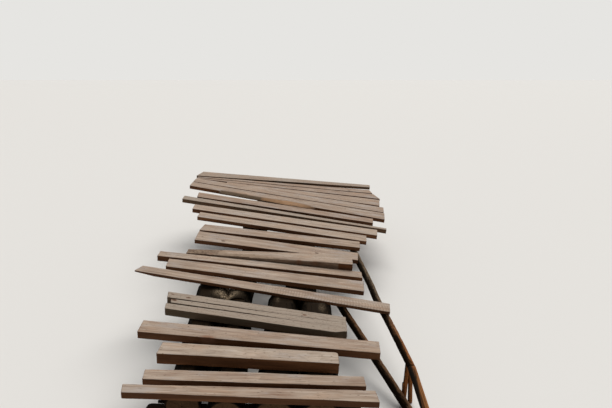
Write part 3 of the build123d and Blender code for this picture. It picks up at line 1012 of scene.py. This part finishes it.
def blob(points, centre, size):
    """A soft patch: e to the minus fourth power of the distance, in units of size.

    Centre and size are in millimetres along x, y and z.
    """
    distance = np.sqrt((((points - np.array(centre) * MM) / (np.array(size) * MM)) ** 2).sum(axis=-1))
    return np.exp(-distance ** 4)


# ---------------------------------------------------------------- operators

# The sawn boards by number; their order gives each its seed.
SAWN = {
    "01": BoardLook(0.5, 0, (18, -70), ((0.55, -0.2, 110, 0.28), (0.66, 0.3, 80, 0.25), (0.2, 0, 40, 0.3))),
    "02": BoardLook(0.5, 0, (-10, -90), ((0.12, 0.2, 40, 0.35), (0.45, 0, 70, 0.3))),
    "03": BoardLook(0.95, 0, (0, -120), ((0.42, -0.6, 25, 0.3),), 0.05),
    "04": BoardLook(0.45, 0, (25, -60), ((0.3, -1, 34, 1.0),), 0.2),
    "06": BoardLook(0.45, 0, (-15, -70), ((0.5, 0, 60, 0.3),), 1.0, 0.5),
    "07": BoardLook(0.5, 0, (20, -50), ((0.97, 0.2, 20, 0.6),), 0.3, 0.3),
    "08": BoardLook(0.6, 0.1, (0, -80)),
    "10": BoardLook(0.45, 0, (-30, -60), ((0.6, 0.3, 40, 0.5),), 0.15),
    "11": BoardLook(0.45, 0, (10, -60), ((0.4, 0.2, 60, 0.3),)),
    "12": BoardLook(0.75),
    "13": BoardLook(1.0, 0, (20, -80), (), 0.05),
    "14": BoardLook(0.7, 0.6),
    "15": BoardLook(0.2, 0.1, (-20, -60)),
    "17": BoardLook(0.45, 0, (30, -70)),
    "18": BoardLook(0.35, 0.15),
    "19": BoardLook(0.2, 0.15),
    "20": BoardLook(0.25),
    "21": BoardLook(0.3, 0.5, (0, -60), ((0.3, 0, 80, 0.3),)),
}


class JETTY_OT_sawn_boards(bpy.types.Operator):
    """Lay the plain sawn boards of both decks."""

    bl_idname = "jetty.sawn_boards"
    bl_label = "Sawn boards"

    def execute(self, context):
        boards = context.scene.jetty_boards
        materials = finishes(boards, dry_sawn_spruce, sawn_spruce_end)
        for seed, (number, look) in enumerate(SAWN.items()):
            node, shape = "deck_board_" + number, {}
            lie = lie_of(node)
            if number == "03":
                lie, shape["far"] = worn_corner(lie)
            if number == "06":
                lie, shape["low"] = thin_end(lie)
            slot = "weathered_timber" if number == "14" else "sawn_board"
            grid = plank(lie, look, 11 * seed + 3, boards, **shape)
            closed_piece("board_" + number, [node], [grid], materials, slot)
        return {"FINISHED"}


def worn_corner(lie, radius=22 * MM):
    """The thick beam's far right corner, worn to a quarter circle.

    The far edge draws back by radius minus the root of radius squared less
    the squared distance into the corner.
    """
    near_left, near_right, far_right, far_left = lie.corners
    corner = far_right + lie.along * ((near_right - far_right) @ lie.along)
    length = np.linalg.norm(near_right - near_left)
    width = np.linalg.norm(corner - near_right)

    def far(share):
        """The far edge's share across."""
        into = np.clip(share * length - (length - radius), 0, radius)
        return 1 - (radius - np.sqrt(radius ** 2 - into ** 2)) / width

    return lie._replace(corners=np.array([near_left, near_right, corner, far_left])), far


def thin_end(lie, run=170 * MM, left_share=0.45):
    """The board that is hewn thin from below: the underside rises in line to its left end.

    The left corners of the lie are read at the board's top, because its
    underside there no longer touches the plane that the board lies on.
    """
    points = shell_of("deck_board_06")[0].reshape(-1, 3)
    height = points @ lie.up
    top = outer_corners(points[height > height.max() - 0.5 * MM], lie.along, lie.across)
    corners = lie.corners.copy()
    corners[[0, 3]] = top[[0, 3]] - lie.up * lie.thickness
    length = middle_length(corners)

    def low(share):
        """The underside's share of the thickness."""
        return (1 - left_share) * np.clip(1 - share * length / run, 0, 1)

    return lie._replace(corners=corners), low


class JETTY_OT_split_timber(bpy.types.Operator):
    """Lay the old grey timber that has split into three strips."""

    bl_idname = "jetty.split_timber"
    bl_label = "Split timber"

    def execute(self, context):
        boards = context.scene.jetty_boards
        grids = split_timber("deck_board_05", boards)
        materials = finishes(boards, dry_sawn_spruce, sawn_spruce_end)
        closed_piece("board_05", ["deck_board_05"], grids, materials, "weathered_timber")
        return {"FINISHED"}


def split_timber(node, boards, splits=(0.35, 0.62), crack=6 * MM, tip=0.66, setback=34 * MM, core_top=0.31):
    """Three strips on a common core, their cracks closing at the tip.

    Each crack is a wedge: half its width is crack times 1 - share / tip, and past
    the tip the strips run into each other by 3 mm. The middle strip starts
    setback further in and lies a little lower, and the near right corner is
    worn off in steps.
    """
    lie = lie_of(node)
    near_left, near_right, far_right, far_left = lie.corners
    points = shell_of(node)[0].reshape(-1, 3)
    outermost = points[np.argmax(points @ lie.along)] - far_right
    end_way = unit(outermost - lie.up * (outermost @ lie.up))
    edge_way = unit(near_right - near_left)
    # The near edge and the right end are carried on to where they meet.
    run = np.linalg.lstsq(np.column_stack([edge_way, -end_way]), far_right - near_right, rcond=None)[0][0]
    corner = near_right + edge_way * run
    lost = np.linalg.norm(corner - near_right)
    lie = lie._replace(corners=np.array([near_left, corner, far_right, far_left]))
    length = middle_length(lie.corners)
    width = np.linalg.norm(far_left - near_left)

    def border(k, side):
        """One side of a crack, as a function that gives its share across."""
        def edge(share):
            opening = crack / width * np.clip(1 - share / tip, -0.55, 1)
            wave = 0.012 * smooth_noise(71 + k, share * length / 0.16, 0.4) * ease(share, 0.0, 0.1)
            return splits[k] + side * opening + wave
        return edge

    def worn(share):
        """The near edge's share across: half the distance past the worn corner's start, in steps."""
        into = np.clip((share - 1) * length + lost, 0, None)
        steps = 0.5 * into + 4 * MM * smooth_noise(5, share * length / 0.012, 0.3) * (into > 0)
        return np.clip(steps / width, 0, 0.2)

    look = BoardLook(0.75, 0.85, (30, 120), ribs=0, ragged=9)
    strips = (
        (worn, border(0, -1), ((0.42, -1.9, 7, 2.0), (0.93, -2.6, 34, 0.6))),
        (border(0, 1), border(1, -1), ((0.02, 0.4, 18, 2.0), (0.41, 0.2, 5, 1.6))),
        (border(1, 1), np.ones_like, (
            (0.125, 1.6, 15, 2.0), (0.03, 2.0, 12, 1.6), (0.78, 1.3, 14, 1.8), (0.84, 0.9, 9, 1.6),
        )),
    )
    grids = []
    for k, (near, far, stains) in enumerate(strips):
        corners, high = lie.corners.copy(), 1.0
        if k == 1:
            corners[[0, 3]] += np.array([edge_way, unit(far_right - far_left)]) * setback
            high = 0.996
        grids.append(plank(
            lie._replace(corners=corners), look._replace(tone=0.7 + 0.1 * k, stains=stains), 300 + 17 * k,
            boards, near, far, high=high, section=plank_section(10, 5, 4),
        ))
    core = plank(
        lie, look._replace(tone=0), 380, boards, lambda share: worn(share) + 0.01,
        lambda share: np.full_like(share, 0.99), high=core_top,
    )
    # The core shows only in the cracks, where it takes the underside's dark colour: painted shade in the
    # cracks.
    core.surface[..., 0] = -1
    return [*grids, core]


WANE_PLACES = np.array([-815, -795, -430, -300, -170, 85, 250, 408]) * MM
WANE_WIDTHS = np.array([1, 34, 40, 34, 46, 78, 66, 1]) * MM
WANE_FOOT = 9 * MM


class JETTY_OT_waney_board(bpy.types.Operator):
    """Lay the board that keeps the tree's round edge."""

    bl_idname = "jetty.waney_board"
    bl_label = "Waney board"

    def execute(self, context):
        boards = context.scene.jetty_boards
        lie = lie_of("deck_board_16")
        length = middle_length(lie.corners)
        skin = {}

        def wane(place, y, z, half):
            """Cuts z down to foot + (thickness - foot) * inward ** 0.75 over the round edge's width."""
            width = np.interp(place - length / 2, WANE_PLACES, WANE_WIDTHS, 0, 0)
            width = np.maximum(width * (1 + 0.25 * smooth_noise(91, place / 0.05, 0.5)), 0.01 * MM)
            inward = np.clip((y + half) / width, 0, 1)
            ceiling = WANE_FOOT + (lie.thickness - WANE_FOOT) * inward ** 0.75
            ceiling = np.where(width > 2 * MM, ceiling, 1)
            ceiling = ceiling - 1.5 * MM * np.abs(smooth_noise(92, place / 0.02, y / 0.008)) * (inward < 1)
            on_wane = (width > 3 * MM) & (inward < 0.995) & (z > WANE_FOOT - 2 * MM)
            skin["wane"] = np.where(on_wane, ease(1 - inward, 0.02, 0.25), 0)
            skin["wane_tan"] = np.broadcast_to(ease(place - length / 2, -0.29, -0.23), y.shape)
            return np.minimum(z, ceiling)

        grid = plank(lie, BoardLook(), 401, boards, wane=wane, section=plank_section(34, 5, 6))
        materials = finishes(boards, spruce_with_wane, sawn_spruce_end)
        closed_piece("board_16", ["deck_board_16"], [grid], materials, "sawn_board", **skin)
        return {"FINISHED"}


# How far across the slab its round skin reaches, by shares of its length; where the skin is
# sawn off and where the bark ends are shares of the length too.
SLAB_PLACES = (0.0, 0.21, 0.25, 0.412, 0.545, 0.66, 0.9)
SLAB_BORDERS = (1.2, 1.1, 0.5, 0.56, 0.24, 0.09, 0.07)
SLAB_BEND = 16 * MM
SAWN_FROM = 0.915
SLAB_BARK_TO = 0.2
SLAB_KNOTS = ((0.145, 0.35, 22, 0.6), (0.2, 0.4, 55, 0.3), (0.68, 0.02, 18, 1.0), (0.78, 0.0, 26, 0.7))


class JETTY_OT_half_round_slab(bpy.types.Operator):
    """Lay the half-round slab, split side up."""

    bl_idname = "jetty.half_round_slab"
    bl_label = "Half-round slab"

    def execute(self, context):
        boards = context.scene.jetty_boards
        node = "deck_board_09"
        axis = axis_of(node, RIGHT)
        top = flat_of(node, UP)
        cuts = [Cut(top), Cut(flat_of(node, -UP))]
        grid = round_piece(axis, 433, 4 * MM, 88, 14 * MM, cuts, bare_width=4 * MM)

        on_top = (grid.points - top.point) @ top.normal > -0.8 * MM
        length = np.linalg.norm(axis.end - axis.start)
        place = (grid.points - axis.start) @ axis.way
        share = place / length
        unsawn = share < SAWN_FROM
        from_axis = (grid.points - axis.start) @ unit(np.cross(top.normal, axis.way))
        reach = np.abs(from_axis).max(axis=1, keepdims=True)
        across = 0.5 + 0.5 * from_axis / np.maximum(reach, MM)

        border = np.interp(share, SLAB_PLACES, SLAB_BORDERS) + 0.05 * smooth_noise(437, place / 0.06, 0.5)
        bend = SLAB_BEND * np.clip((border - across) / np.maximum(border, 0.1), 0, 1) ** 2
        round_share = ease(border - across, 0, 0.12) * unsawn
        table = [(at * length, offset * 2 * reach, *rest) for at, offset, *rest in SLAB_KNOTS]
        knotty = np.clip(spots(place, across * 2 * reach, table), 0, 1)
        rough = ease(SLAB_BARK_TO - share + 0.05 * smooth_noise(441, place / 0.05, across * 3), -0.02, 0.02)
        grid = grid._replace(
            points=grid.points - np.where(on_top & unsawn, bend, 0)[..., None] * top.normal,
            grain=grid.grain + np.array([0, 12, -20]) * MM,
            finish=stacked(0.6, 0.05, knotty),
            # Only the split top counts as facing up, so the finishes paint the round side darker: painted
            # shade.
            surface=stacked(on_top, 0.1, 0),
        )
        materials = finishes(boards, debarked_spruce_slab, sawn_spruce_end)
        closed_piece(
            "board_09", [node], [grid], materials, "split_slab",
            wane=np.where(on_top, round_share, unsawn) * (1 - 0.8 * knotty),
            wane_tan=np.maximum(0.9 * rough, 0.15 + 0.4 * smooth_noise(439, place / 0.09, across * 2)),
        )
        return {"FINISHED"}


# Each log and the two pieces that it lies on.
LOGS = (
    ("near_log_left_outer", "shore_sleeper", "middle_stump_left"),
    ("near_log_left_inner", "shore_sleeper", "middle_stump_left"),
    ("near_log_right_inner", "shore_sleeper", "middle_stump_right"),
    ("near_log_right_outer", "shore_sleeper", "middle_stump_right"),
    ("far_log_left", "middle_stump_left", "far_cap"),
    ("far_log_right", "middle_stump_right", "far_cap"),
)

# The pale patch and the torn bark as centre and size, burls with their swelling too, all in millimetres.
# The pale patch is dry chips with painted light: the light that falls through the gap between the boards onto
# the log.
CHIPS_AND_GAP_LIGHT = ((-315, 1112, 425), (110, 92, 70))
TORN = (((84, 1025, 430), (13, 70, 60)), ((419, 897, 425), (26, 60, 60)))
BURLS = {
    "near_log_left_outer": (((-345, 1110, 390), (85, 190, 110), 42), ((-310, 264, 345), (75, 150, 110), 34)),
    "near_log_right_inner": (((235, 234, 340), (60, 130, 110), 24),),
}
# The right near logs pass under board 06 and are trimmed there, from this place in y, in metres.
TRIM_START = 0.975
STUB_SHARES = (0.03, 0.83)
STUB_LENGTH = 40 * MM
STUB_RADIUS = 9.5 * MM
STUB_ROOT = 30 * MM


class JETTY_OT_logs(bpy.types.Operator):
    """Lay the bark-covered logs under both decks."""

    bl_idname = "jetty.logs"
    bl_label = "Logs"

    def execute(self, context):
        bark = context.scene.jetty_bark
        materials = finishes(bark, pine_bark_and_hewn_wood, pine_log_end)
        for seed, (node, *seats) in enumerate(LOGS):
            axis = axis_of(node, OUT)
            cuts = [Cut(flat_of(node, UP))]
            for seat in seats:
                low, high = (axis.place_of(corner[1]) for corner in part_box(seat))
                cuts.append(Cut(turned_flat(seat, UP), low, high))
            if node.startswith("near_log_right"):
                cuts.append(Cut(turned_flat("deck_board_06", -UP), axis.place_of(TRIM_START)))
            grid = round_piece(axis, 500 + 23 * seed, bark.relief, 76, bark.step, cuts)
            swollen = grid.points.copy()
            for centre, size, swell in BURLS.get(node, ()):
                swollen[..., 0] += swell * MM * blob(grid.points, centre, size)
            # The pale patch is dry chips with painted light, where light falls through the gap between the
            # boards; the torn bark is faint.
            dry = blob(swollen, *CHIPS_AND_GAP_LIGHT) + 0.16 * sum(blob(swollen, *torn) for torn in TORN)
            grids = [with_patch(grid._replace(points=swollen), dry)]
            if node == "near_log_left_outer":
                grids += [stub(axis, share, 640 + k) for k, share in enumerate(STUB_SHARES)]
            closed_piece(node.replace("log", "bark_log"), [node], grids, materials, "bark_log")
        return {"FINISHED"}


def stub(axis, share, seed):
    """A broken branch stub that points left from a log's side."""
    root = axis.start + (axis.end - axis.start) * share
    radius = axis.start_radius + (axis.end_radius - axis.start_radius) * share
    start, end = root - RIGHT * (radius - STUB_ROOT), root - RIGHT * (radius + STUB_LENGTH)
    branch = Axis(start, end, 1.2 * STUB_RADIUS, STUB_RADIUS, -RIGHT)
    return round_piece(branch, seed, 1.5 * MM, 20, 6 * MM, [], furrow=12 * MM)


class JETTY_OT_supports(bpy.types.Operator):
    """Set the sleeper, the stumps and the far trestle under the logs."""

    bl_idname = "jetty.supports"
    bl_label = "Sleeper, stumps and trestle"

    def execute(self, context):
        bark = context.scene.jetty_bark
        materials = finishes(bark, pine_bark_and_hewn_wood, pine_log_end)
        for seed, node in enumerate(("shore_sleeper", "far_cap")):
            cuts = [Cut(flat_of(node, way)) for way in (UP, -UP)]
            grid = round_piece(axis_of(node, RIGHT), 700 + 29 * seed, bark.relief, 76, bark.step, cuts)
            closed_piece(node + "_bark", [node], [grid], materials, "bark_log")
        for seed, (node, rough, around, slot) in enumerate((
            ("middle_stump_left", 1.6, 110, "bark_log"), ("middle_stump_right", 1.6, 110, "bark_log"),
            ("far_post_left", 0.5, 48, "bark_pole"), ("far_post_right", 0.5, 48, "bark_pole"),
        )):
            grid = round_piece(
                upright_axis(node), 760 + 31 * seed, bark.relief * rough, around, bark.step,
                [Cut(flat_of(node, UP))], furrow=45 * MM,
            )
            closed_piece(node + "_bark", [node], [grid], materials, slot)
        return {"FINISHED"}


POLE_SWELL, POLE_TAPER = 3 * MM, 9 * MM
BOW_REACH, BOW_PLACE, BOW_LENGTH = 9 * MM, 1120 * MM, 230 * MM
TONGUE_LENGTH = 280 * MM
# The way toward the light for the poles: their finishes paint the side that faces it lighter and the far side
# darker.
POLE_LIT_SIDE = (0.95, 0, 0.3)


class JETTY_OT_poles(bpy.types.Operator):
    """Lay the poles at the right side: one with bark, its barkless foot, and the inner one."""

    bl_idname = "jetty.poles"
    bl_label = "Side poles"

    def execute(self, context):
        bark = context.scene.jetty_bark
        skin, peeled, end = finishes(bark, young_pine_bark, peeled_pine, pine_log_end)
        thick = bark.pole_thickness
        for seed, (node, material, slot, relief, swell, taper) in enumerate((
            ("outer_pole", skin, "bark_pole", 3.8 * MM, thick + POLE_SWELL, POLE_TAPER),
            ("outer_pole_foot", peeled, "barkless_pole", 1.5 * MM, 0, 0),
            ("inner_pole", skin, "bark_pole", 2.2 * MM, thick, 0),
        )):
            axis = axis_of(node, -OUT)
            axis = axis._replace(
                start_radius=axis.start_radius + swell, end_radius=axis.end_radius + swell - taper,
            )
            cuts = [GROUND] if material == peeled else [Cut(flat_of(node, UP)), GROUND]
            grid = round_piece(
                axis, 820 + 37 * seed, relief, 44, bark.step, cuts, furrow=20 * MM, lit_side=POLE_LIT_SIDE,
            )
            y = grid.points[..., 1]
            outer_end = ease(y, 0.3, 1.3)
            if node == "outer_pole":
                grid.points[..., 0] -= BOW_REACH * np.exp(-((y - BOW_PLACE) / BOW_LENGTH) ** 2)
                patch = 1 - outer_end
            elif node == "inner_pole":
                patch = 0.35 + 0.15 * outer_end
            else:
                from_top = 1.7 * (axis.start[1] - y) / TONGUE_LENGTH
                patch = ease(-grid.surface[..., 0], from_top - 1.1, from_top - 0.8)
            closed_piece(node + "_skin", [node], [with_patch(grid, patch)], (material, end), slot)
        return {"FINISHED"}


PROP_TOP_SPREAD = 9 * MM
PROP_GROUND_SPREAD = 22 * MM
PROP_RADIUS = 16 * MM
BROKEN_LEG_SPREAD = 28 * MM
BROKEN_LEG_RADIUS = 10 * MM
BROKEN_LEG_HEIGHT = 150 * MM
# The way toward the light for the prop: its finish paints the side that faces it lighter and the far side
# darker.
PROP_LIT_SIDE = (0.4, -0.9, 0)


class JETTY_OT_forked_prop(bpy.types.Operator):
    """Stand the forked prop under the near end of the outer pole."""

    bl_idname = "jetty.forked_prop"
    bl_label = "Forked prop"

    def execute(self, context):
        bark = context.scene.jetty_bark
        low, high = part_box("forked_prop")
        y = (low[1] + high[1]) / 2
        pole = axis_of("outer_pole", -OUT)
        head = pole.start + pole.way * pole.place_of(y)
        broken = np.array([head[0] - BROKEN_LEG_SPREAD, y, BROKEN_LEG_HEIGHT])
        grids = []
        for seed, (top, spread, radius) in enumerate((
            (head - RIGHT * PROP_TOP_SPREAD, -PROP_GROUND_SPREAD, PROP_RADIUS),
            (head + RIGHT * PROP_TOP_SPREAD, PROP_GROUND_SPREAD, PROP_RADIUS),
            (broken, -BROKEN_LEG_SPREAD, BROKEN_LEG_RADIUS),
        )):
            foot = np.array([head[0] + spread, y, 0])
            axis = Axis(foot, top, radius, radius, unit(top - foot))
            grid = round_piece(
                axis, 900 + 13 * seed, 1.4 * MM, 28, 8 * MM, [GROUND], furrow=12 * MM, lit_side=PROP_LIT_SIDE,
            )
            grids.append(with_patch(grid, 1.0))
        materials = finishes(bark, young_pine_bark, pine_log_end)
        closed_piece("forked_prop_skin", ["forked_prop"], grids, materials, "bark_pole")
        return {"FINISHED"}


PHOTO_WIDTH = 612


class JETTY_OT_stage(bpy.types.Operator):
    """Set the pale floor, the soft light and the camera."""

    bl_idname = "jetty.stage"
    bl_label = "Floor, light and camera"

    def execute(self, context):
        scene, stage = context.scene, context.scene.jetty_stage
        size = stage.floor_size
        mesh = bpy.data.meshes.new("floor")
        square = [(-size, -size, 0), (size, -size, 0), (size, size, 0), (-size, size, 0)]
        mesh.from_pydata(square, [], [(0, 1, 2, 3)])
        material = bpy.data.materials.new("pale_floor")
        material.use_nodes = True
        shader = material.node_tree.nodes["Principled BSDF"].inputs
        shader["Base Color"].default_value = (*stage.floor, 1)
        shader["Roughness"].default_value = 0.95
        shader["Specular IOR Level"].default_value = 0.1
        mesh.materials.append(material)
        placed("floor", mesh)

        # The room's light is soft and a little blue; the camera sees the room's wall pale grey.
        world = scene.world = bpy.data.worlds.new("soft_room")
        world.use_nodes = True
        tree = world.node_tree
        sky = tree.nodes["Background"]
        sky.inputs["Color"].default_value = (0.93, 0.96, 1.0, 1)
        sky.inputs["Strength"].default_value = 0.33
        seen = add(tree, "Background", ((*linear("E6E5E2"), 1), 1.0))
        rays = add(tree, "LightPath").node.outputs
        direct = add(tree, "Math", (rays["Is Camera Ray"], rays["Is Glossy Ray"]), operation="MAXIMUM")
        mix = add(tree, "MixShader", (direct, sky.outputs[0], seen))
        tree.links.new(mix, tree.nodes["World Output"].inputs["Surface"])

        lamp = bpy.data.lights.new("overhead_light", "SUN")
        lamp.energy = 2.9
        lamp.angle = math.radians(50)
        lamp.color = (1.0, 0.99, 0.975)
        light = placed("overhead_light", lamp)
        light.location = (0, 2, 6)
        light.rotation_euler = (math.radians(-32), math.radians(14), 0)

        lens = bpy.data.cameras.new("camera")
        lens.lens = stage.focal_pixels / PHOTO_WIDTH * lens.sensor_width
        lens.clip_end = 400.0
        camera = scene.camera = placed("camera", lens)
        camera.location = (stage.eye_right, -stage.eye_back, stage.eye_height)
        camera.rotation_euler = (math.pi / 2 - stage.eye_pitch, 0, 0)
        scene.view_settings.view_transform = "Standard"
        return {"FINISHED"}


STEPS = (
    JETTY_OT_stage, JETTY_OT_sawn_boards, JETTY_OT_split_timber, JETTY_OT_waney_board,
    JETTY_OT_half_round_slab, JETTY_OT_logs, JETTY_OT_supports, JETTY_OT_poles, JETTY_OT_forked_prop,
)
GROUPS = {"jetty_boards": JettyBoards, "jetty_bark": JettyBark, "jetty_stage": JettyStage}


class JETTY_PT_panel(bpy.types.Panel):
    """Lists the jetty's pieces and their settings."""

    bl_label = "Wooden jetty"
    bl_idname = "JETTY_PT_panel"
    bl_space_type = "VIEW_3D"
    bl_region_type = "UI"
    bl_category = "Jetty"

    def draw(self, context):
        for step in STEPS:
            self.layout.operator(step.bl_idname)
        for title in GROUPS:
            box = self.layout.box()
            group = getattr(context.scene, title)
            for setting in group.bl_rna.properties:
                if setting.identifier not in {"rna_type", "name"}:
                    box.prop(group, setting.identifier)


def register():
    """Adds the settings, the operators and the panel to Blender."""
    for title, group in GROUPS.items():
        bpy.utils.register_class(group)
        setattr(bpy.types.Scene, title, bpy.props.PointerProperty(type=group))
    for made in (*STEPS, JETTY_PT_panel):
        bpy.utils.register_class(made)


def unregister():
    """Takes them out of Blender again."""
    for made in (JETTY_PT_panel, *reversed(STEPS)):
        bpy.utils.unregister_class(made)
    for title, group in GROUPS.items():
        delattr(bpy.types.Scene, title)
        bpy.utils.unregister_class(group)


def main():
    """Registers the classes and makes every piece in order."""
    register()
    for step in STEPS:
        group, name = step.bl_idname.split(".")
        getattr(getattr(bpy.ops, group), name)()


if __name__ == "__main__":
    main()
